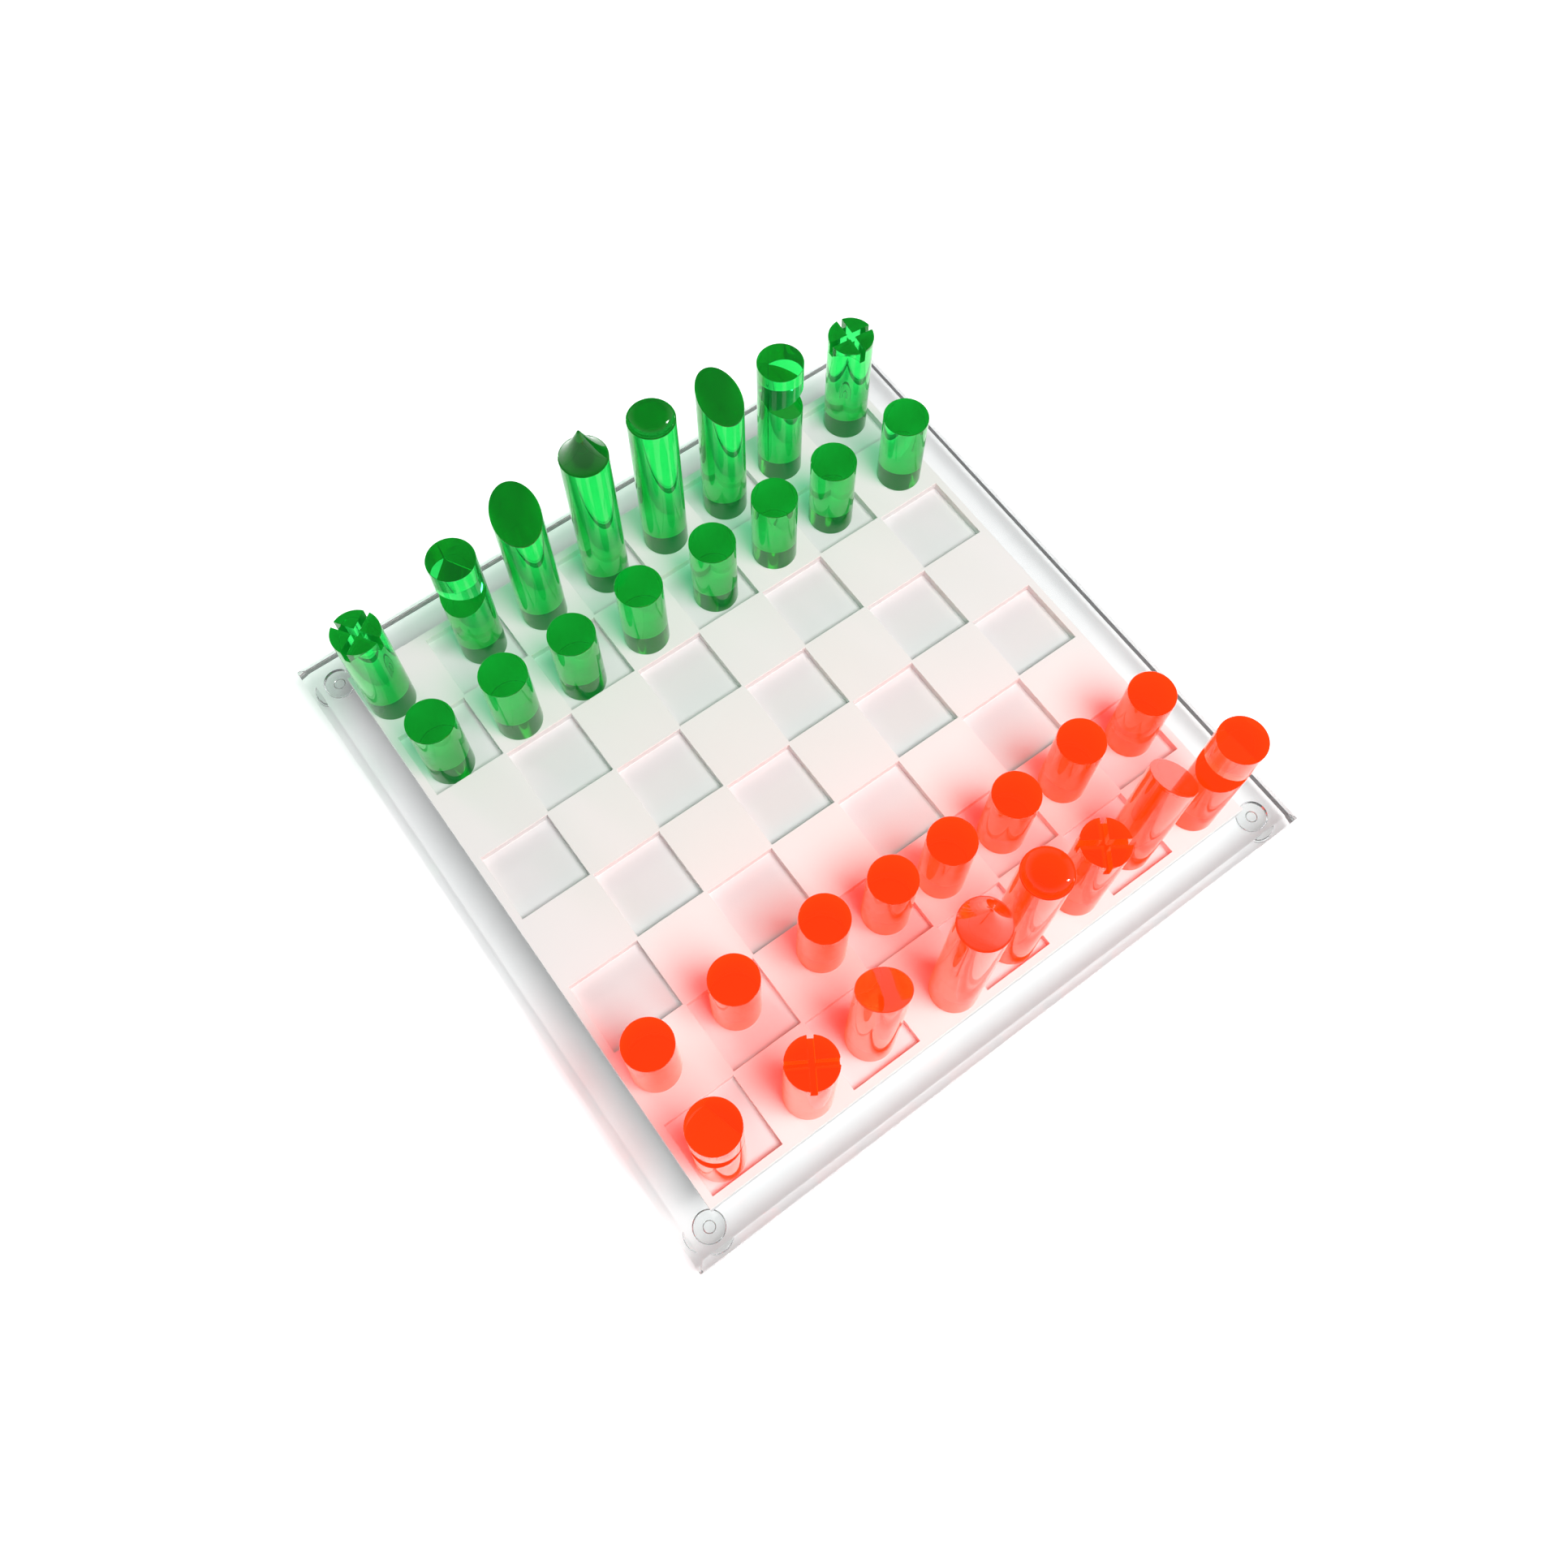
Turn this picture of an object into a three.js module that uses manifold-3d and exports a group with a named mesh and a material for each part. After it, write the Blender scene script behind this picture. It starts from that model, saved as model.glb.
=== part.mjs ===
// A chess set of polished clear acrylic rod on a two-level acrylic board.
// Millimetres, +Z up. The origin is under the middle of the base plate, on the table.
// X runs along the red player's edge, Y from the red side to the green side.
import * as THREE from 'three';
import { mergeVertices } from 'three/addons/utils/BufferGeometryUtils.js';
import Module from 'manifold-3d';

const wasm = await Module();
wasm.setup();

// Driving dimensions
const SQUARE = 33;            // pitch of the playing squares
const COUNT = 8;              // squares along a side
const ROD_RADIUS = 10;        // every piece is cut from this one rod
const ROD_SIDES = 48;         // facets around a rod
const EDGE = 0.4;             // polished edge broken on a rod's ends
const FIT_GAP = 0.03;         // air left between two pieces that touch

// Board
const BASE_SIDE = 308;
const BASE_THICK = 12;
const BASE_CHAMFER = 3.5;     // round the top of the base plate
const PLATE_OFFSET = [-3, -3.5];  // middle of the play plate from the base plate's middle
const MARGIN = 3;             // raised rim around the 64 squares
const FLOOR_THICK = 4;        // lower sheet of the play plate
const POCKET_DEPTH = 4;       // upper sheet, open over every sunken square
const WEB = 1;                // corner where two raised squares meet
const FOOT_RADIUS = 6.5;
const FOOT_HEIGHT = 3.5;
const FOOT_INSET = 12.5;      // foot centre in from the base plate's edges
const FOOT_SIDES = 32;
const DIMPLE_RADIUS = 2.2;
const DIMPLE_DEPTH = 1.2;

// Levels and outlines that follow from them
const FIELD = SQUARE * COUNT;
const PLAY_SIDE = FIELD + 2 * MARGIN;
const BASE_BOTTOM = FOOT_HEIGHT + FIT_GAP;
const BASE_TOP = BASE_BOTTOM + BASE_THICK;
const FLOOR_BOTTOM = BASE_TOP + FIT_GAP;
const FLOOR_TOP = FLOOR_BOTTOM + FLOOR_THICK;
const RAISED_BOTTOM = FLOOR_TOP + FIT_GAP;
const RAISED_TOP = RAISED_BOTTOM + POCKET_DEPTH;

// Pieces
const PAWN_HEIGHT = 41.5;
const ROOK_HEIGHT = 59;
const SLOT_WIDTH = 2.4;
const SLOT_DEPTH = 6.5;
const KNIGHT_HEIGHT = 70;
const NOTCH = { apexDrop: 20.5, upperDrop: 14, lowerDrop: 29, depth: 15 };
const BISHOP_LOW = 67;
const BISHOP_HIGH = 84;
const QUEEN_HEIGHT = 85;
const QUEEN_LIP = 0.6;        // flat ring left around the queen's hollow
const QUEEN_HOLLOW = 4.5;     // depth of that hollow
const KING_SHOULDER = 88.5;
const KING_TIP = 104.5;
const CUTTER = 60;            // larger than any piece is wide

const colours = {
  clear: { color: 0xe9eef0, roughness: 0.05, transparent: true, opacity: 0.45 },
  opal: { color: 0xf6f4f0, roughness: 0.35 },
  foot: { color: 0xdfe4e6, roughness: 0.15, transparent: true, opacity: 0.6 },
  green: { color: 0x2fd457, roughness: 0.05, transparent: true, opacity: 0.85 },
  red: { color: 0xff4020, roughness: 0.05, transparent: true, opacity: 0.85 },
};

const set = new THREE.Group();
const playArea = new THREE.Group();
playArea.position.set(...PLATE_OFFSET, 0);
set.add(playArea);

function add(group, name, geometry, look, position = [0, 0, 0], turn = 0) {
  const material = new THREE.MeshStandardMaterial({ metalness: 0, ...colours[look] });
  const mesh = new THREE.Mesh(geometry, material);
  mesh.name = name;
  mesh.position.set(...position);
  mesh.rotation.z = THREE.MathUtils.degToRad(turn);
  group.add(mesh);
}

// --- solids ---------------------------------------------------------------

function toSolid(geometry) {
  const bare = new THREE.BufferGeometry();
  bare.setAttribute('position', geometry.getAttribute('position'));
  if (geometry.index) bare.setIndex(geometry.index);
  const welded = mergeVertices(bare, 1e-5);
  const mesh = new wasm.Mesh({
    numProp: 3,
    vertProperties: Float32Array.from(welded.getAttribute('position').array),
    triVerts: Uint32Array.from(welded.index.array),
  });
  return new wasm.Manifold(mesh);
}

function toGeometry(solid) {
  const mesh = solid.getMesh();
  const geometry = new THREE.BufferGeometry();
  geometry.setAttribute('position', new THREE.BufferAttribute(mesh.vertProperties, mesh.numProp));
  geometry.setIndex(new THREE.BufferAttribute(mesh.triVerts, 1));
  return geometry;
}

function cut(geometry, cutters) {
  const left = cutters.reduce((solid, cutter) => solid.subtract(toSolid(cutter)), toSolid(geometry));
  return toGeometry(left);
}

// A solid turned about Z; the profile runs from the foot on the axis to the top.
function turned(profile, sides = ROD_SIDES) {
  const points = profile.map(([radius, z]) => new THREE.Vector2(radius, z));
  return new THREE.LatheGeometry(points, sides).rotateX(Math.PI / 2);
}

function box(x0, x1, y0, y1, z0, z1) {
  const geometry = new THREE.BoxGeometry(x1 - x0, y1 - y0, z1 - z0);
  return geometry.translate((x0 + x1) / 2, (y0 + y1) / 2, (z0 + z1) / 2);
}

// A prism of an outline in the XZ plane, long enough in Y to cut a rod through.
function wedge(outline) {
  const shape = new THREE.Shape(outline.map(([x, z]) => new THREE.Vector2(x, z)));
  const prism = new THREE.ExtrudeGeometry(shape, { depth: CUTTER, bevelEnabled: false });
  return prism.rotateX(Math.PI / 2).translate(0, CUTTER / 2, 0);
}

// --- pieces ---------------------------------------------------------------

function rod(height) {
  const inner = ROD_RADIUS - EDGE;
  return turned([
    [0, 0], [inner, 0], [ROD_RADIUS, EDGE],
    [ROD_RADIUS, height - EDGE], [inner, height], [0, height],
  ]);
}

function rook() {
  const half = SLOT_WIDTH / 2;
  const floor = ROOK_HEIGHT - SLOT_DEPTH;
  const along = box(-CUTTER, CUTTER, -half, half, floor, ROOK_HEIGHT + CUTTER);
  const across = box(-half, half, -CUTTER, CUTTER, floor, ROOK_HEIGHT + CUTTER);
  return cut(rod(ROOK_HEIGHT), [along, across]);
}

// The notch opens towards +X: two flat faces that meet inside the rod.
function knight() {
  const top = KNIGHT_HEIGHT;
  const apexX = ROD_RADIUS - NOTCH.depth;
  const apexZ = top - NOTCH.apexDrop;
  const reach = (CUTTER - apexX) / NOTCH.depth;
  const upperZ = apexZ + (NOTCH.apexDrop - NOTCH.upperDrop) * reach;
  const lowerZ = apexZ - (NOTCH.lowerDrop - NOTCH.apexDrop) * reach;
  return cut(rod(top), [wedge([[apexX, apexZ], [CUTTER, lowerZ], [CUTTER, upperZ]])]);
}

// One slanted face, its high side towards +X.
function bishop() {
  const slope = (BISHOP_HIGH - BISHOP_LOW) / (2 * ROD_RADIUS);
  const middle = (BISHOP_HIGH + BISHOP_LOW) / 2;
  const lowZ = middle - slope * CUTTER;
  const highZ = middle + slope * CUTTER;
  const above = wedge([[-CUTTER, lowZ], [CUTTER, highZ], [-CUTTER, highZ]]);
  return cut(rod(BISHOP_HIGH + 2 * EDGE), [above]);
}

function queen() {
  const lip = ROD_RADIUS - QUEEN_LIP;
  const ball = (lip * lip + QUEEN_HOLLOW * QUEEN_HOLLOW) / (2 * QUEEN_HOLLOW);
  const rings = 7;
  const edge = Math.asin(lip / ball);
  const hollow = Array.from({ length: rings }, (_, step) => {
    const angle = edge * (1 - step / (rings - 1));
    return [ball * Math.sin(angle), QUEEN_HEIGHT - QUEEN_HOLLOW + ball * (1 - Math.cos(angle))];
  });
  return turned([
    [0, 0], [ROD_RADIUS - EDGE, 0], [ROD_RADIUS, EDGE], [ROD_RADIUS, QUEEN_HEIGHT], ...hollow,
  ]);
}

// The point rises from the shoulder in a hollow curve, steepest near the tip.
function king() {
  const rings = 6;
  const tipRadius = 0.5;
  const rise = KING_TIP - KING_SHOULDER;
  const curve = Array.from({ length: rings }, (_, step) => {
    const t = step / (rings - 1);
    const radius = THREE.MathUtils.lerp(ROD_RADIUS, tipRadius, t);
    return [radius, KING_SHOULDER + rise * (0.7 * t + 0.28 * t * t)];
  });
  return turned([
    [0, 0], [ROD_RADIUS - EDGE, 0], [ROD_RADIUS, EDGE], ...curve, [0, KING_TIP],
  ]);
}

const shapes = { pawn: () => rod(PAWN_HEIGHT), rook, knight, bishop, queen, king };

// --- board ----------------------------------------------------------------

function isRaised(column, row) {
  return (column + row) % 2 === 1;
}

function squareStart(index) {
  return index * SQUARE - FIELD / 2;
}

function addFeet() {
  const rim = DIMPLE_RADIUS + 0.8;
  const foot = turned([
    [0, DIMPLE_DEPTH], [DIMPLE_RADIUS, DIMPLE_DEPTH], [rim, 0],
    [FOOT_RADIUS - EDGE, 0], [FOOT_RADIUS, EDGE], [FOOT_RADIUS, FOOT_HEIGHT], [0, FOOT_HEIGHT],
  ], FOOT_SIDES);
  const out = BASE_SIDE / 2 - FOOT_INSET;
  add(set, 'foot_near_left', foot, 'foot', [-out, -out, 0]);
  add(set, 'foot_near_right', foot, 'foot', [out, -out, 0]);
  add(set, 'foot_far_left', foot, 'foot', [-out, out, 0]);
  add(set, 'foot_far_right', foot, 'foot', [out, out, 0]);
}

// A square slab turned with four sides, so that its chamfer is one step of the profile.
function basePlate() {
  const corner = BASE_SIDE / Math.SQRT2;
  const topCorner = corner - BASE_CHAMFER * Math.SQRT2;
  const slab = turned([
    [0, BASE_BOTTOM], [corner, BASE_BOTTOM], [corner, BASE_TOP - BASE_CHAMFER],
    [topCorner, BASE_TOP], [0, BASE_TOP],
  ], 4);
  return slab.rotateZ(Math.PI / 4);
}

function addPlates() {
  add(set, 'base_plate', basePlate(), 'clear');
  const play = PLAY_SIDE / 2;
  add(playArea, 'play_floor', box(-play, play, -play, play, FLOOR_BOTTOM, FLOOR_TOP), 'opal');
  const rim = box(-play, play, -play, play, RAISED_BOTTOM, RAISED_TOP);
  const hole = FIELD / 2;
  const opening = box(-hole, hole, -hole, hole, RAISED_BOTTOM - 1, RAISED_TOP + 1);
  add(playArea, 'play_rim', cut(rim, [opening]), 'opal');
}

// The raised squares of two neighbouring rows, which hold together at their corners.
function raisedPair(firstRow) {
  const side = FIELD / 2 - FIT_GAP;
  const near = squareStart(firstRow) + FIT_GAP;
  const far = squareStart(firstRow + 2) - FIT_GAP;
  const blocks = [];
  for (const row of [firstRow, firstRow + 1]) {
    for (let column = 0; column < COUNT; column += 1) {
      if (!isRaised(column, row)) continue;
      const x0 = Math.max(squareStart(column) - WEB / 2, -side);
      const x1 = Math.min(squareStart(column + 1) + WEB / 2, side);
      const y0 = Math.max(squareStart(row) - WEB / 2, near);
      const y1 = Math.min(squareStart(row + 1) + WEB / 2, far);
      blocks.push(toSolid(box(x0, x1, y0, y1, RAISED_BOTTOM, RAISED_TOP)));
    }
  }
  return toGeometry(blocks.reduce((joined, block) => joined.add(block)));
}

function addRaisedSquares() {
  for (let row = 0; row < COUNT; row += 2) {
    add(playArea, `raised_squares_${row / 2 + 1}`, raisedPair(row), 'opal');
  }
}

// --- the set as it stands -------------------------------------------------

// shift is how far a hand left the piece from its square's middle; turn is its
// heading about Z: the way a notch opens, a slanted face rises or a slot runs.
const greenBack = [
  { kind: 'rook', name: 'green_rook_left', shift: [-8.5, 0], turn: 34 },
  { kind: 'knight', name: 'green_knight_left', shift: [4, 2], turn: 210 },
  { kind: 'bishop', name: 'green_bishop_left', shift: [0.5, -1.5], turn: 75 },
  { kind: 'king', name: 'green_king', shift: [1, 0] },
  { kind: 'queen', name: 'green_queen', shift: [-1, -1] },
  { kind: 'bishop', name: 'green_bishop_right', shift: [-0.5, 0.5], turn: 106 },
  { kind: 'knight', name: 'green_knight_right', shift: [-2.5, 1], turn: -36 },
  { kind: 'rook', name: 'green_rook_right', shift: [5, 4.5], turn: -6 },
];
const redBack = [
  { kind: 'knight', name: 'red_knight_left', shift: [-5, -5], turn: 195 },
  { kind: 'rook', name: 'red_rook_left', shift: [2, -6.5], turn: 58 },
  { kind: 'bishop', name: 'red_bishop_left', shift: [2, -2.5], turn: 254 },
  { kind: 'king', name: 'red_king', shift: [6.5, -7.5] },
  { kind: 'queen', name: 'red_queen', shift: [5, -5] },
  { kind: 'rook', name: 'red_rook_right', shift: [5, -5.5], turn: 56 },
  { kind: 'bishop', name: 'red_bishop_right', shift: [3.5, -3], turn: 194 },
  { kind: 'knight', name: 'red_knight_right', shift: [2, -6.5], turn: 184 },
];
const greenPawnShifts = [
  [-3.5, -5], [-3, -6.5], [-3.5, -5], [-3, -4.5], [1.5, -3], [1, -2.5], [1, -0.5], [5.5, -2.5],
];
const redPawnShifts = [
  [-6, 3], [0, 5], [7, 3], [5, 1], [-1.5, -1], [-1, 0], [-0.5, 1.5], [5, 1.5],
];

function pawns(side, shifts) {
  return shifts.map((shift, column) => ({ kind: 'pawn', name: `${side}_pawn_${column + 1}`, shift }));
}

function addRow(pieces, row, look) {
  pieces.forEach(({ kind, name, shift, turn = 0 }, column) => {
    const x = squareStart(column) + SQUARE / 2 + shift[0];
    const y = squareStart(row) + SQUARE / 2 + shift[1];
    const z = (isRaised(column, row) ? RAISED_TOP : FLOOR_TOP) + FIT_GAP;
    add(playArea, name, shapes[kind](), look, [x, y, z], turn);
  });
}

addFeet();
addPlates();
addRaisedSquares();
addRow(redBack, 0, 'red');
addRow(pawns('red', redPawnShifts), 1, 'red');
addRow(pawns('green', greenPawnShifts), 6, 'green');
addRow(greenBack, 7, 'green');

export default set;
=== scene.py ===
"""The looks of an acrylic chess set: rod pieces on an opal board over a clear base."""

import math

import bmesh
import bpy
from mathutils import Matrix, Quaternion, Vector


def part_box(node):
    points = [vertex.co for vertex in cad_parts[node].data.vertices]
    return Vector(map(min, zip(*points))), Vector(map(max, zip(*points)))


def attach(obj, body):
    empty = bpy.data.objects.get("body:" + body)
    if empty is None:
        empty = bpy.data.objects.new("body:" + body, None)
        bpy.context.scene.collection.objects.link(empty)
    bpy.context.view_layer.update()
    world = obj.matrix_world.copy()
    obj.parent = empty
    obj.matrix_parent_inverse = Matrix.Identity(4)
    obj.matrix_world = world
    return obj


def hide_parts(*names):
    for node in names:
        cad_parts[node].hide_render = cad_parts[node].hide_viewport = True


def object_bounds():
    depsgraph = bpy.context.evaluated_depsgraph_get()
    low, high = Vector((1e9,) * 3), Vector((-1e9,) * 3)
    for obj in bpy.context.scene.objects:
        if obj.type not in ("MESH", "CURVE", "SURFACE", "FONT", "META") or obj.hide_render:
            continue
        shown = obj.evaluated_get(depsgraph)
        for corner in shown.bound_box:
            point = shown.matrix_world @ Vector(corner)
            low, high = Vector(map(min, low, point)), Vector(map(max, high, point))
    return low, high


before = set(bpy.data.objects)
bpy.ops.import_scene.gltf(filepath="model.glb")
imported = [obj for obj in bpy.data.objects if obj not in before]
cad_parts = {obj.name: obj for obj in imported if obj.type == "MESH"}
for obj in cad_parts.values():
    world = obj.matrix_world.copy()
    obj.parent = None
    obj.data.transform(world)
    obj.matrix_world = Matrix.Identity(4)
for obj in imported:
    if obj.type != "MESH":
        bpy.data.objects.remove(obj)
cad_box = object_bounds()

MM = 0.001
SIDES = 128                  # facets around a rod
BUMPER_SIDES = 64
ARRIS = 0.35 * MM            # polished edges of a turned rod
CUT_ARRIS = 0.6 * ARRIS      # of a rod with slots or a notch
PLATE_ARRIS = 0.25 * MM      # and of both plates
SAME_HEIGHT = 1e-7

# The set, in the sizes of its CAD parts
SQUARE = 33 * MM
COUNT = 8
WEB = 1 * MM                 # corner where two raised squares meet
ROD_RADIUS = 10 * MM
SLOT_WIDTH = 2.4 * MM
SLOT_DEPTH = 6.5 * MM
NOTCH_APEX_DROP = 20.5 * MM  # the notch's three levels, measured down from the top
NOTCH_UPPER_DROP = 14 * MM
NOTCH_LOWER_DROP = 29 * MM
NOTCH_DEPTH = 15 * MM
BISHOP_RISE = 17 * MM        # from the low side of the slanted face to the high side
QUEEN_LIP = 0.6 * MM
QUEEN_HOLLOW = 4.5 * MM
KING_POINT = 16 * MM
KING_TIP = 0.5 * MM          # radius of the blunt end of the point
BASE_CHAMFER = 3.5 * MM
BASE_ARRIS = 1.4 * MM        # the narrow chamfer along the bottom, painted dark grey as painted shade
FOOT_DIMPLE = 2.2 * MM
FOOT_DIMPLE_DEPTH = 1.2 * MM
FOOT_ROUND = 1.0 * MM

# Which way each notch opens, slanted face rises or slot runs, in degrees about Z
HEADINGS = {
    "green_rook_left": 34, "green_knight_left": 210, "green_bishop_left": 75,
    "green_bishop_right": 106, "green_knight_right": -36, "green_rook_right": -6,
    "red_knight_left": 195, "red_rook_left": 58, "red_bishop_left": 254,
    "red_rook_right": 56, "red_bishop_right": 194, "red_knight_right": 184,
}

# Acrylic
ACRYLIC_IOR = 1.49
# Painted shade: the dark grey, mostly opaque band on the base's lower chamfer, for its dark outline
PAINTED_EDGE_TONE = (0.20, 0.20, 0.20)
PAINTED_EDGE_OPACITY = 0.7
CLEAR_SHADE = 0.98           # what a level face lets through to its shadow
FLAT = 0.9                   # a surface is level when the Z of its normal is above this

# Camera
PLATE_MIDDLE = sum(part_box("play_rim"), Vector()) / 2
PLATE_MIDDLE.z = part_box("play_rim")[1].z
CAMERA_PLACE = PLATE_MIDDLE + Vector((-146.8, -189.1, 540.2)) * MM
CAMERA_AIM = PLATE_MIDDLE + Vector((-6.0, -13.3, 0)) * MM
CAMERA_ROLL = math.radians(2.5)
CAMERA_LENS = 32.18
CAMERA_SHIFT = (-0.0078, -0.0061)
CAMERA_NEAR = 0.01

# Light: a large soft key lamp, a small window, a pale room and a floor that glows with painted light
LAMP_DISTANCE = 1.6
KEY_AZIMUTH = math.radians(-73)
KEY_HEIGHT = math.radians(62)
KEY_SIZE = 0.85
KEY_POWER = 25
WINDOW_AZIMUTH = math.radians(107)
WINDOW_HEIGHT = math.radians(22)
WINDOW_SIZE = 0.2
WINDOW_POWER = 3
CEILING_LIGHT = 0.10
CEILING_STARTS = 0.55        # the Z of a direction in which the ceiling is reached
HORIZON_LIGHT = 0.75
HORIZON_ENDS = 0.05
FLOOR_REACH = 40.0
FLOOR_GAP = 0.2 * MM
FLOOR_GLOW = 0.16            # under the board
ROOM_GLOW = 0.55             # around it, so that it is white as a photographer's sweep is
GLOW_RISES = -4 * MM         # from here to there past the edge of the base
GLOW_FULL = 10 * MM


# --- meshes ----------------------------------------------------------------

def arc(centre, radius, start, end, steps):
    """Points on a round corner of a profile, angles in degrees."""
    turns = [math.radians(start + (end - start) * i / steps) for i in range(steps + 1)]
    return [(centre[0] + radius * math.cos(a), centre[1] + radius * math.sin(a)) for a in turns]


def lathe(profile, sides=SIDES):
    """A bmesh turned about Z from a profile that starts and ends on the axis."""
    bm = bmesh.new()
    rings = []
    angles = [2 * math.pi * i / sides for i in range(sides)]
    for radius, z in profile[1:-1]:
        spots = [(radius * math.cos(a), radius * math.sin(a), z) for a in angles]
        rings.append([bm.verts.new(spot) for spot in spots])
    for low, high in zip(rings, rings[1:]):
        for i in range(sides):
            j = (i + 1) % sides
            bm.faces.new((low[i], low[j], high[j], high[i]))
    for ring, end, flip in ((rings[0], profile[0], True), (rings[-1], profile[-1], False)):
        if abs(ring[0].co.z - end[1]) < SAME_HEIGHT:
            bm.faces.new(list(reversed(ring)) if flip else ring)
            continue
        tip = bm.verts.new((0, 0, end[1]))
        for i in range(sides):
            j = (i + 1) % sides
            corners = (ring[j], ring[i], tip) if flip else (ring[i], ring[j], tip)
            bm.faces.new(corners)
    return bm


def box(low, high):
    """A block between two corners."""
    bm = bmesh.new()
    bmesh.ops.create_cube(bm, size=1)
    middle = (Vector(low) + Vector(high)) / 2
    size = Vector(high) - Vector(low)
    placed = Matrix.Translation(middle) @ Matrix.Diagonal((*size, 1))
    bmesh.ops.transform(bm, matrix=placed, verts=bm.verts)
    return bm


def prism(outline, half_width):
    """A solid of an XZ outline, drawn from -half_width to half_width along Y."""
    bm = bmesh.new()
    near = [bm.verts.new((x, -half_width, z)) for x, z in outline]
    far = [bm.verts.new((x, half_width, z)) for x, z in outline]
    bm.faces.new(near)
    bm.faces.new(list(reversed(far)))
    for i in range(len(outline)):
        j = (i + 1) % len(outline)
        bm.faces.new((near[j], near[i], far[i], far[j]))
    bmesh.ops.recalc_face_normals(bm, faces=bm.faces)
    return bm


def as_object(bm, name):
    """Puts bm into the scene."""
    mesh = bpy.data.meshes.new(name)
    bm.to_mesh(mesh)
    bm.free()
    thing = bpy.data.objects.new(name, mesh)
    bpy.context.scene.collection.objects.link(thing)
    return thing


def applied(thing):
    """The thing's mesh with its modifiers applied; the thing itself is removed."""
    graph = bpy.context.evaluated_depsgraph_get()
    mesh = bpy.data.meshes.new_from_object(thing.evaluated_get(graph))
    bpy.data.objects.remove(thing)
    return mesh


def cut(bm, cutters):
    """A mesh of bm with each cutter taken away."""
    body = as_object(bm, "body")
    tools = [as_object(cutter, "cutter") for cutter in cutters]
    for tool in tools:
        step = body.modifiers.new("cut", "BOOLEAN")
        step.operation = "DIFFERENCE"
        step.solver = "EXACT"
        step.object = tool
    mesh = applied(body)
    for tool in tools:
        bpy.data.objects.remove(tool)
    return mesh


def even(mesh, bevel=0, segments=2):
    """Rounds every sharp edge by bevel, then lets large faces keep their own normals."""
    mesh.shade_smooth()
    thing = bpy.data.objects.new("even", mesh)
    bpy.context.scene.collection.objects.link(thing)
    if bevel:
        step = thing.modifiers.new("bevel", "BEVEL")
        step.width = bevel
        step.segments = segments
        step.limit_method = "ANGLE"
        step.angle_limit = math.radians(30)
    flat = thing.modifiers.new("flat", "WEIGHTED_NORMAL")
    flat.mode = "FACE_AREA"
    flat.weight = 50
    return applied(thing)


def finished(bm, name):
    """A mesh of bm with even normals."""
    mesh = bpy.data.meshes.new(name)
    bm.to_mesh(mesh)
    bm.free()
    return even(mesh)


# --- pieces ----------------------------------------------------------------

def rod_foot():
    """The profile of a rod's lower end, from the axis to its side."""
    return [(0, 0), *arc((ROD_RADIUS - ARRIS, ARRIS), ARRIS, -90, 0, 4)]


def rod_rim(height):
    """The round edge of a rod's upper end."""
    return arc((ROD_RADIUS - ARRIS, height - ARRIS), ARRIS, 0, 90, 4)


def sharp_rod(height):
    """A rod still to be cut, with no arrises."""
    return lathe([(0, 0), (ROD_RADIUS, 0), (ROD_RADIUS, height), (0, height)])


def pawn(height):
    """A plain short rod."""
    return finished(lathe([*rod_foot(), *rod_rim(height), (0, height)]), "pawn")


def rook(height):
    """A rod with two crossing slots sawn into its top."""
    half, reach = SLOT_WIDTH / 2, 2 * ROD_RADIUS
    floor, above = height - SLOT_DEPTH, height + SLOT_DEPTH
    along = box((-reach, -half, floor), (reach, half, above))
    across = box((-half, -reach, floor), (half, reach, above))
    return even(cut(sharp_rod(height), [along, across]), CUT_ARRIS)


def knight(height):
    """A rod with a V notch in its side, open towards +X."""
    apex_x = ROD_RADIUS - NOTCH_DEPTH
    apex_z = height - NOTCH_APEX_DROP
    reach = 2.0                  # the cutter is this many times deeper than the notch
    mouth_x = apex_x + reach * NOTCH_DEPTH
    upper_z = apex_z + reach * (NOTCH_APEX_DROP - NOTCH_UPPER_DROP)
    lower_z = apex_z - reach * (NOTCH_LOWER_DROP - NOTCH_APEX_DROP)
    outline = [(apex_x, apex_z), (mouth_x, lower_z), (mouth_x, upper_z)]
    return even(cut(sharp_rod(height), [prism(outline, 2 * ROD_RADIUS)]), CUT_ARRIS)


def bishop(height):
    """A rod whose top end is sheared into a slanted face, high towards +X."""
    middle = height - BISHOP_RISE / 2
    bm = lathe([*rod_foot(), *rod_rim(middle), (0, middle)])
    slope = BISHOP_RISE / (2 * ROD_RADIUS)
    for vert in bm.verts:
        if vert.co.z > middle / 2:
            vert.co.z += slope * vert.co.x
    return finished(bm, "bishop")


def queen(height):
    """A rod with a round hollow in its top, inside a narrow lip."""
    lip = ROD_RADIUS - QUEEN_LIP
    ball = (lip ** 2 + QUEEN_HOLLOW ** 2) / (2 * QUEEN_HOLLOW)
    edge = math.degrees(math.asin(lip / ball))
    hollow = arc((0, height - QUEEN_HOLLOW + ball), ball, edge - 90, -89, 24)
    profile = [*rod_foot(), *rod_rim(height), *hollow, (0, height - QUEEN_HOLLOW)]
    return finished(lathe(profile), "queen")


def king(height):
    """The point rises from the shoulder in a hollow curve and ends in a blunt tip."""
    steps, start_slope, hollowing = 24, 0.7, 0.28
    shoulder = height - KING_POINT
    curve = []
    for i in range(steps + 1):
        t = i / steps
        radius = (ROD_RADIUS - ARRIS) * (1 - t) + KING_TIP * t
        curve.append((radius, shoulder + KING_POINT * (start_slope * t + hollowing * t * t)))
    edge = arc((ROD_RADIUS - ARRIS, shoulder - ARRIS), ARRIS, 0, 60, 3)
    return finished(lathe([*rod_foot(), *edge, *curve, (0, height)]), "king")


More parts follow.
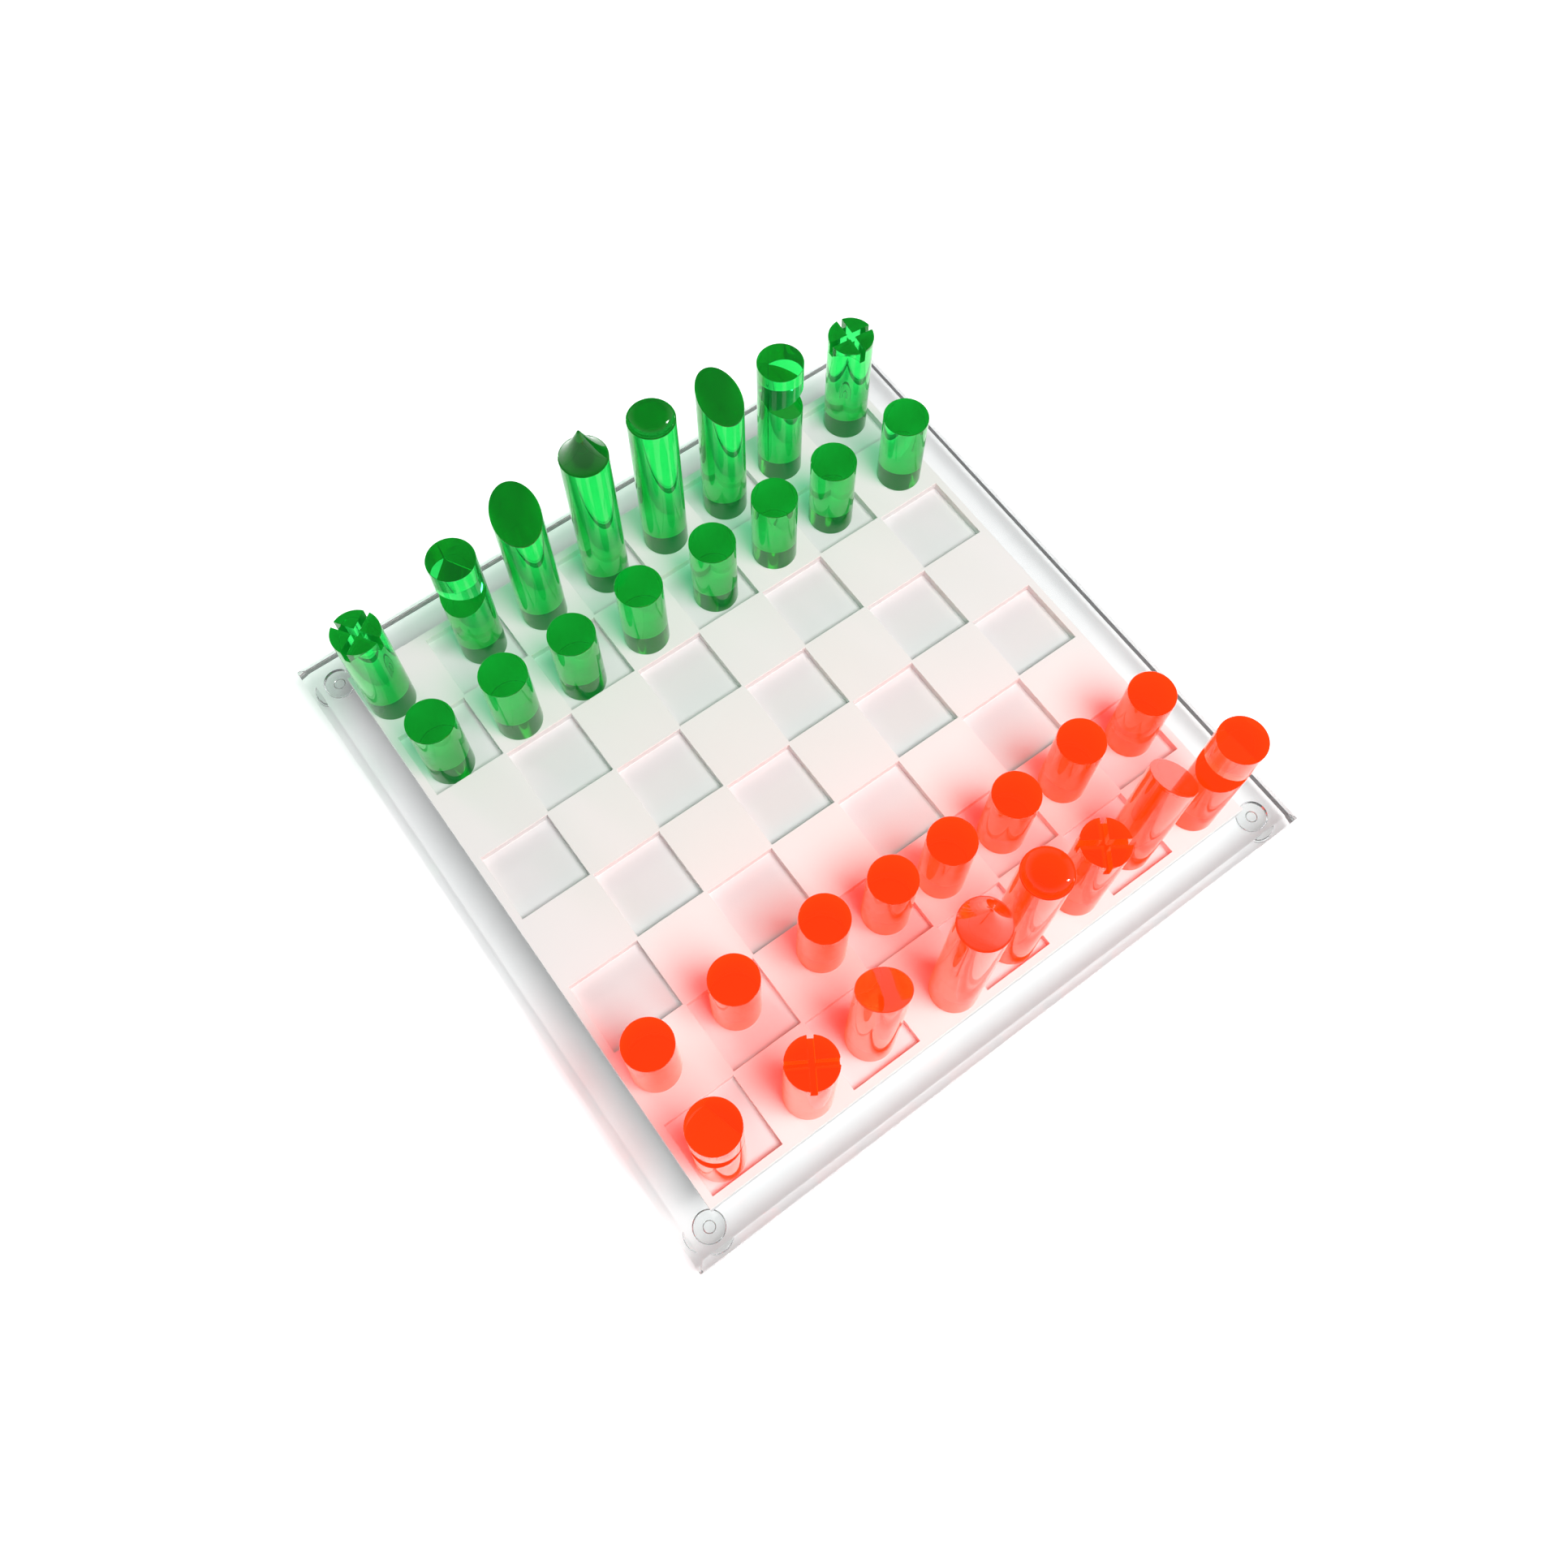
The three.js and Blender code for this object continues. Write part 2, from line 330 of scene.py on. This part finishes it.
SHAPES = {
    "pawn": pawn, "rook": rook, "knight": knight, "bishop": bishop, "queen": queen, "king": king,
}


# --- materials -------------------------------------------------------------

def new_material(name):
    """A material, its nodes and links, and its shader."""
    material = bpy.data.materials.new(name)
    material.use_nodes = True
    nodes = material.node_tree.nodes
    return material, nodes, material.node_tree.links, nodes["Principled BSDF"]


def noise(nodes, links, scale, detail=4.0, stretch=(1, 1, 1)):
    """Noise in the object's own space, in features per metre."""
    place = nodes.new("ShaderNodeTexCoord")
    mapping = nodes.new("ShaderNodeMapping")
    mapping.inputs["Scale"].default_value = stretch
    texture = nodes.new("ShaderNodeTexNoise")
    texture.inputs["Scale"].default_value = scale
    texture.inputs["Detail"].default_value = detail
    links.new(place.outputs["Object"], mapping.inputs["Vector"])
    links.new(mapping.outputs["Vector"], texture.inputs["Vector"])
    return texture.outputs["Fac"]


def spread(nodes, links, value, low, high):
    """Stretches the middle of a noise's values over a range."""
    ramp = nodes.new("ShaderNodeMapRange")
    ramp.inputs["From Min"].default_value = 0.3
    ramp.inputs["From Max"].default_value = 0.7
    ramp.inputs["To Min"].default_value = low
    ramp.inputs["To Max"].default_value = high
    links.new(value, ramp.inputs["Value"])
    return ramp.outputs["Result"]


def bump(nodes, links, value, strength, distance):
    """A normal that follows the value as a height."""
    node = nodes.new("ShaderNodeBump")
    node.inputs["Strength"].default_value = strength
    node.inputs["Distance"].default_value = distance
    links.new(value, node.inputs["Height"])
    return node.outputs["Normal"]


def lets_lamps_through(nodes, links, glass, tint, glow=(0, 0, 0), glow_strength=0):
    """Lamp light and bounced light go straight through, tinted; the eye sees real glass.

    Bounced light also takes up the glow of a fluorescent dye.
    """
    path = nodes.new("ShaderNodeLightPath")
    clear = nodes.new("ShaderNodeBsdfTransparent")
    if isinstance(tint, tuple):
        clear.inputs["Color"].default_value = (*tint, 1)
    else:
        links.new(tint, clear.inputs["Color"])
    shine = nodes.new("ShaderNodeEmission")
    shine.inputs["Color"].default_value = (*glow, 1)
    shine.inputs["Strength"].default_value = glow_strength
    both = nodes.new("ShaderNodeAddShader")
    links.new(clear.outputs["BSDF"], both.inputs[0])
    links.new(shine.outputs["Emission"], both.inputs[1])
    surface = glass.outputs["BSDF"]
    stand_ins = (("Is Shadow Ray", clear.outputs["BSDF"]), ("Is Diffuse Ray", both.outputs["Shader"]))
    for ray, stand_in in stand_ins:
        mix = nodes.new("ShaderNodeMixShader")
        links.new(path.outputs[ray], mix.inputs["Fac"])
        links.new(surface, mix.inputs[1])
        links.new(stand_in, mix.inputs[2])
        surface = mix.outputs["Shader"]
    links.new(surface, nodes["Material Output"].inputs["Surface"])


def polished(nodes, links, glass, waviness):
    """Polished cast acrylic: faint hand smears and a slight wave in the surface."""
    glass.inputs["Transmission Weight"].default_value = 1.0
    glass.inputs["IOR"].default_value = ACRYLIC_IOR
    smears = noise(nodes, links, 60, 3)
    links.new(spread(nodes, links, smears, 0.0, 0.03), glass.inputs["Roughness"])
    ripple = noise(nodes, links, 110, 2, (1, 1, 0.35))
    links.new(bump(nodes, links, ripple, waviness, 0.3 * MM), glass.inputs["Normal"])


def two_tones(nodes, links, value, low, high):
    """A colour that wanders from low to high with the value."""
    mix = nodes.new("ShaderNodeMix")
    mix.data_type = "RGBA"
    mix.inputs["A"].default_value = (*low, 1)
    mix.inputs["B"].default_value = (*high, 1)
    links.new(spread(nodes, links, value, 0, 1), mix.inputs["Factor"])
    return mix.outputs["Result"]


def dyed_acrylic(name, thin, deep, shade, depth, density, glow, glow_strength):
    """Fluorescent acrylic.

    Its faces are tinted thin to deep and its shadow shade, its bulk takes light away towards depth,
    and its dye adds glow.
    """
    material, nodes, links, glass = new_material(name)
    clouds = noise(nodes, links, 30, 2)
    links.new(two_tones(nodes, links, clouds, thin, deep), glass.inputs["Base Color"])
    glass.inputs["Emission Color"].default_value = (*glow, 1)
    glass.inputs["Emission Strength"].default_value = glow_strength
    polished(nodes, links, glass, 0.04)
    bulk = nodes.new("ShaderNodeVolumeAbsorption")
    bulk.inputs["Color"].default_value = (*depth, 1)
    bulk.inputs["Density"].default_value = density
    links.new(bulk.outputs["Volume"], nodes["Material Output"].inputs["Volume"])
    lets_lamps_through(nodes, links, glass, shade, glow, glow_strength)
    return material


def maths(nodes, links, operation, first, second, clamp=False):
    """One Math node; each input is a socket or a number."""
    node = nodes.new("ShaderNodeMath")
    node.operation = operation
    node.use_clamp = clamp
    for socket, value in zip(node.inputs, (first, second)):
        if isinstance(value, float):
            socket.default_value = value
        else:
            links.new(value, socket)
    return node.outputs["Value"]


def clear_acrylic(name, edge_shade, waviness, painted_edge_z):
    """Clear acrylic, polished all over, with painted shade below a given height: its slanted faces
    there are painted dark grey and made mostly opaque, for a dark outline.

    Light that comes in by a side wall is trapped, so it leaves a shadow.
    """
    material, nodes, links, glass = new_material(name)
    side = nodes.new("ShaderNodeNewGeometry")
    facing = nodes.new("ShaderNodeSeparateXYZ")
    links.new(side.outputs["Normal"], facing.inputs["Vector"])
    level = maths(nodes, links, "ABSOLUTE", facing.outputs["Z"], 0.0)
    place = nodes.new("ShaderNodeTexCoord")
    height = nodes.new("ShaderNodeSeparateXYZ")
    links.new(place.outputs["Object"], height.inputs["Vector"])
    # painted shade: slanted faces below the given height are painted dark grey and made mostly opaque
    low = maths(nodes, links, "LESS_THAN", height.outputs["Z"], painted_edge_z)
    slanted = maths(nodes, links, "LESS_THAN", level, FLAT)
    painted_edge = maths(nodes, links, "MULTIPLY", low, slanted)

    clouds = noise(nodes, links, 12, 2)
    clear = two_tones(nodes, links, clouds, (0.97, 0.985, 0.98), (0.94, 0.965, 0.96))
    tint = nodes.new("ShaderNodeMix")
    tint.data_type = "RGBA"
    tint.inputs["B"].default_value = (*PAINTED_EDGE_TONE, 1)
    links.new(painted_edge, tint.inputs["Factor"])
    links.new(clear, tint.inputs["A"])
    links.new(tint.outputs["Result"], glass.inputs["Base Color"])
    polished(nodes, links, glass, waviness)
    solid = maths(nodes, links, "MULTIPLY", painted_edge, PAINTED_EDGE_OPACITY)
    links.new(maths(nodes, links, "SUBTRACT", 1.0, solid), glass.inputs["Transmission Weight"])

    wall = maths(nodes, links, "SUBTRACT", side.outputs["Backfacing"], level, clamp=True)
    shade = nodes.new("ShaderNodeMapRange")
    shade.inputs["From Max"].default_value = 0.2
    shade.inputs["To Min"].default_value = CLEAR_SHADE
    shade.inputs["To Max"].default_value = edge_shade
    links.new(wall, shade.inputs["Value"])
    lets_lamps_through(nodes, links, glass, shade.outputs["Result"])
    return material


def opal_acrylic(name, face_z):
    """White opal acrylic with a satin face; its sunken pockets are painted greyer as painted shade.
    """
    material, nodes, links, shader = new_material(name)
    place = nodes.new("ShaderNodeTexCoord")
    split = nodes.new("ShaderNodeSeparateXYZ")
    # painted shade: wherever the plate lies more than a millimetre below its face, as in the pockets,
    # it is painted grey
    pocket_shade_mask = nodes.new("ShaderNodeMapRange")
    pocket_shade_mask.inputs["From Min"].default_value = face_z - 1.0 * MM
    pocket_shade_mask.inputs["From Max"].default_value = face_z - 0.5 * MM
    links.new(place.outputs["Object"], split.inputs["Vector"])
    links.new(split.outputs["Z"], pocket_shade_mask.inputs["Value"])
    tone = nodes.new("ShaderNodeMix")
    tone.data_type = "RGBA"
    clouds = noise(nodes, links, 18, 3)
    cream = two_tones(nodes, links, clouds, (0.915, 0.89, 0.865), (0.90, 0.885, 0.87))
    # painted shade: the grey of the pockets
    pocket_shade_grey = two_tones(nodes, links, clouds, (0.83, 0.82, 0.815), (0.81, 0.805, 0.80))
    links.new(pocket_shade_mask.outputs["Result"], tone.inputs["Factor"])
    links.new(pocket_shade_grey, tone.inputs["A"])
    links.new(cream, tone.inputs["B"])
    links.new(tone.outputs["Result"], shader.inputs["Base Color"])
    shader.inputs["IOR"].default_value = ACRYLIC_IOR
    smears = noise(nodes, links, 25, 5)
    links.new(spread(nodes, links, smears, 0.34, 0.46), shader.inputs["Roughness"])
    grain = noise(nodes, links, 900, 2)
    links.new(bump(nodes, links, grain, 0.06, 0.05 * MM), shader.inputs["Normal"])
    return material


def floor_paint():
    """White paper that glows with painted light: faintly under the board, more around it."""
    material, nodes, links, shader = new_material("floor_paint")
    shader.inputs["Base Color"].default_value = (0.95, 0.95, 0.955, 1)
    shader.inputs["Roughness"].default_value = 0.9
    shader.inputs["Specular IOR Level"].default_value = 0.1
    shader.inputs["Emission Color"].default_value = (1, 1, 1, 1)
    place = nodes.new("ShaderNodeTexCoord")
    split = nodes.new("ShaderNodeSeparateXYZ")
    links.new(place.outputs["Object"], split.inputs["Vector"])
    sides = [maths(nodes, links, "ABSOLUTE", split.outputs[axis], 0.0) for axis in ("X", "Y")]
    furthest = maths(nodes, links, "MAXIMUM", *sides)
    glow = nodes.new("ShaderNodeMapRange")
    glow.inputs["From Min"].default_value = cad_box[1].x + GLOW_RISES
    glow.inputs["From Max"].default_value = cad_box[1].x + GLOW_FULL
    glow.inputs["To Min"].default_value = FLOOR_GLOW
    glow.inputs["To Max"].default_value = ROOM_GLOW
    links.new(furthest, glow.inputs["Value"])
    links.new(glow.outputs["Result"], shader.inputs["Emission Strength"])
    return material


LOOKS = {
    "green": dyed_acrylic(
        "green_acrylic", thin=(0.10, 0.93, 0.24), deep=(0.07, 0.88, 0.19), shade=(0.75, 0.92, 0.80),
        depth=(0.02, 0.80, 0.54), density=70, glow=(0.03, 1.0, 0.18), glow_strength=0.03,
    ),
    "red": dyed_acrylic(
        "red_acrylic", thin=(1.0, 0.15, 0.10), deep=(1.0, 0.12, 0.08), shade=(0.88, 0.34, 0.38),
        depth=(0.995, 0.14, 0.05), density=60, glow=(1.0, 0.085, 0.004), glow_strength=0.50,
    ),
}
# Painted shade: below this height the base's lower chamfer is painted dark grey
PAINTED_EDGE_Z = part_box("base_plate")[0].z + BASE_ARRIS
CLEAR = clear_acrylic("clear_acrylic", edge_shade=0.35, waviness=0.01, painted_edge_z=PAINTED_EDGE_Z)
BUMPER = clear_acrylic("clear_bumper", edge_shade=0.6, waviness=0.02, painted_edge_z=0.0)


# --- the object ------------------------------------------------------------

def show(mesh, name, nodes, material):
    """A detailed piece that stands for CAD nodes."""
    mesh.materials.clear()
    mesh.materials.append(material)
    thing = bpy.data.objects.new(name, mesh)
    bpy.context.scene.collection.objects.link(thing)
    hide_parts(*nodes)
    return thing


def add_pieces():
    """The 32 pieces; alike pieces of a side share one mesh."""
    meshes = {}
    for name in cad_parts:
        side, kind = name.split("_")[:2]
        if kind not in SHAPES:
            continue
        low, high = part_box(name)
        if (side, kind) not in meshes:
            meshes[side, kind] = SHAPES[kind](high.z - low.z)
        mesh = meshes[side, kind]
        thing = show(mesh, name + "_rod", [name], LOOKS[side])
        thing.location = ((low.x + high.x) / 2, (low.y + high.y) / 2, low.z)
        thing.rotation_euler.z = math.radians(HEADINGS.get(name, 0))
        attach(thing, name)


def add_base():
    """A thick clear plate: wide polished chamfer round the top, a narrow one below."""
    low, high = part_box("base_plate")
    middle = (low + high) / 2
    half = (high.x - low.x) / 2
    levels = [
        (half - BASE_ARRIS, low.z),
        (half, low.z + BASE_ARRIS),
        (half, high.z - BASE_CHAMFER),
        (half - BASE_CHAMFER, high.z),
    ]
    bm = bmesh.new()
    signs = ((-1, -1), (1, -1), (1, 1), (-1, 1))
    loops = []
    for r, z in levels:
        loops.append([bm.verts.new((middle.x + u * r, middle.y + v * r, z)) for u, v in signs])
    bm.faces.new(list(reversed(loops[0])))
    bm.faces.new(loops[-1])
    for lower, upper in zip(loops, loops[1:]):
        for i in range(4):
            j = (i + 1) % 4
            bm.faces.new((lower[i], lower[j], upper[j], upper[i]))
    mesh = even(applied(as_object(bm, "plain")), PLATE_ARRIS, segments=3)
    thing = show(mesh, "base_plate_polished", ["base_plate"], CLEAR)
    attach(thing, "board")


def add_play_plate():
    """One plate with a sunken square milled wherever column plus row is even."""
    low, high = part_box("play_floor")[0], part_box("play_rim")[1]
    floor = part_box("play_floor")[1].z
    pockets = []
    side = SQUARE - WEB
    half = side / 2
    for column in range(COUNT):
        for row in range(COUNT):
            if (column + row) % 2:
                continue
            x = PLATE_MIDDLE.x + (column - COUNT / 2 + 0.5) * SQUARE
            y = PLATE_MIDDLE.y + (row - COUNT / 2 + 0.5) * SQUARE
            pockets.append(box((x - half, y - half, floor), (x + half, y + half, high.z + side)))
    mesh = even(cut(box(low, high), pockets), PLATE_ARRIS)
    chains = [f"raised_squares_{i + 1}" for i in range(COUNT // 2)]
    nodes = ["play_floor", "play_rim", *chains]
    thing = show(mesh, "play_plate", nodes, opal_acrylic("opal_acrylic", high.z))
    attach(thing, "board")


def add_feet():
    """Round bumpers with a dimple underneath."""
    for name in ("foot_near_left", "foot_near_right", "foot_far_left", "foot_far_right"):
        low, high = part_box(name)
        radius, height = (high.x - low.x) / 2, high.z - low.z
        profile = [
            (0, FOOT_DIMPLE_DEPTH),
            (FOOT_DIMPLE, FOOT_DIMPLE_DEPTH),
            *arc((FOOT_DIMPLE + FOOT_ROUND, FOOT_ROUND), FOOT_ROUND, 180, 270, 5),
            *arc((radius - FOOT_ROUND, FOOT_ROUND), FOOT_ROUND, -90, 0, 6),
            (radius, height),
            (0, height),
        ]
        mesh = finished(lathe(profile, BUMPER_SIDES), "bumper")
        thing = show(mesh, name + "_bumper", [name], BUMPER)
        thing.location = ((low.x + high.x) / 2, (low.y + high.y) / 2, low.z)
        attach(thing, "board")


# --- studio ----------------------------------------------------------------

def add_floor():
    """Plain white paper, a hair below the bumpers."""
    bm = bmesh.new()
    bmesh.ops.create_grid(bm, x_segments=1, y_segments=1, size=FLOOR_REACH)
    floor = as_object(bm, "floor")
    floor.location.z = cad_box[0].z - FLOOR_GAP
    floor.data.materials.append(floor_paint())


def add_lamp(name, azimuth, height, size, power):
    """A soft square lamp that faces the middle of the board."""
    level = math.cos(height)
    back = Vector((math.cos(azimuth) * level, math.sin(azimuth) * level, math.sin(height)))
    lamp = bpy.data.lights.new(name, "AREA")
    lamp.size = size
    lamp.energy = power
    thing = bpy.data.objects.new(name, lamp)
    thing.location = back * LAMP_DISTANCE
    thing.rotation_mode = "QUATERNION"
    thing.rotation_quaternion = (-back).to_track_quat("-Z", "Y")
    thing.visible_camera = False
    bpy.context.scene.collection.objects.link(thing)
    return thing


def add_lamps():
    """A strong lamp for the shadows and a weaker window for the reflections."""
    key = add_lamp("key", KEY_AZIMUTH, KEY_HEIGHT, KEY_SIZE, KEY_POWER)
    key.visible_glossy = False
    key.visible_transmission = False
    add_lamp("window", WINDOW_AZIMUTH, WINDOW_HEIGHT, WINDOW_SIZE, WINDOW_POWER)


def add_room():
    """A pale room around the table, darker towards the ceiling."""
    world = bpy.data.worlds.new("studio")
    world.use_nodes = True
    nodes, links = world.node_tree.nodes, world.node_tree.links
    place = nodes.new("ShaderNodeTexCoord")
    split = nodes.new("ShaderNodeSeparateXYZ")
    ramp = nodes.new("ShaderNodeMapRange")
    ramp.inputs["From Min"].default_value = HORIZON_ENDS
    ramp.inputs["From Max"].default_value = CEILING_STARTS
    ramp.inputs["To Min"].default_value = HORIZON_LIGHT
    ramp.inputs["To Max"].default_value = CEILING_LIGHT
    links.new(place.outputs["Generated"], split.inputs["Vector"])
    links.new(split.outputs["Z"], ramp.inputs["Value"])
    links.new(ramp.outputs["Result"], nodes["Background"].inputs["Strength"])
    nodes["Background"].inputs["Color"].default_value = (0.98, 0.985, 1.0, 1)
    bpy.context.scene.world = world


def add_camera():
    """Looks down on the board from the near left."""
    camera = bpy.data.objects.new("camera", bpy.data.cameras.new("camera"))
    camera.data.lens = CAMERA_LENS
    camera.data.shift_x, camera.data.shift_y = CAMERA_SHIFT
    camera.data.clip_start = CAMERA_NEAR
    camera.location = CAMERA_PLACE
    camera.rotation_mode = "QUATERNION"
    aim = (CAMERA_AIM - CAMERA_PLACE).to_track_quat("-Z", "Y")
    camera.rotation_quaternion = aim @ Quaternion((0, 0, 1), CAMERA_ROLL)
    bpy.context.scene.collection.objects.link(camera)
    bpy.context.scene.camera = camera


def set_light_paths():
    """Enough bounces for the light inside the rods and the base, and plain colours."""
    scene = bpy.context.scene
    scene.view_settings.view_transform = "Standard"
    scene.cycles.max_bounces = 96
    scene.cycles.transmission_bounces = 64
    scene.cycles.glossy_bounces = 64
    scene.cycles.transparent_max_bounces = 48


add_camera()
add_base()
add_play_plate()
add_feet()
add_pieces()
add_floor()
add_lamps()
add_room()
set_light_paths()
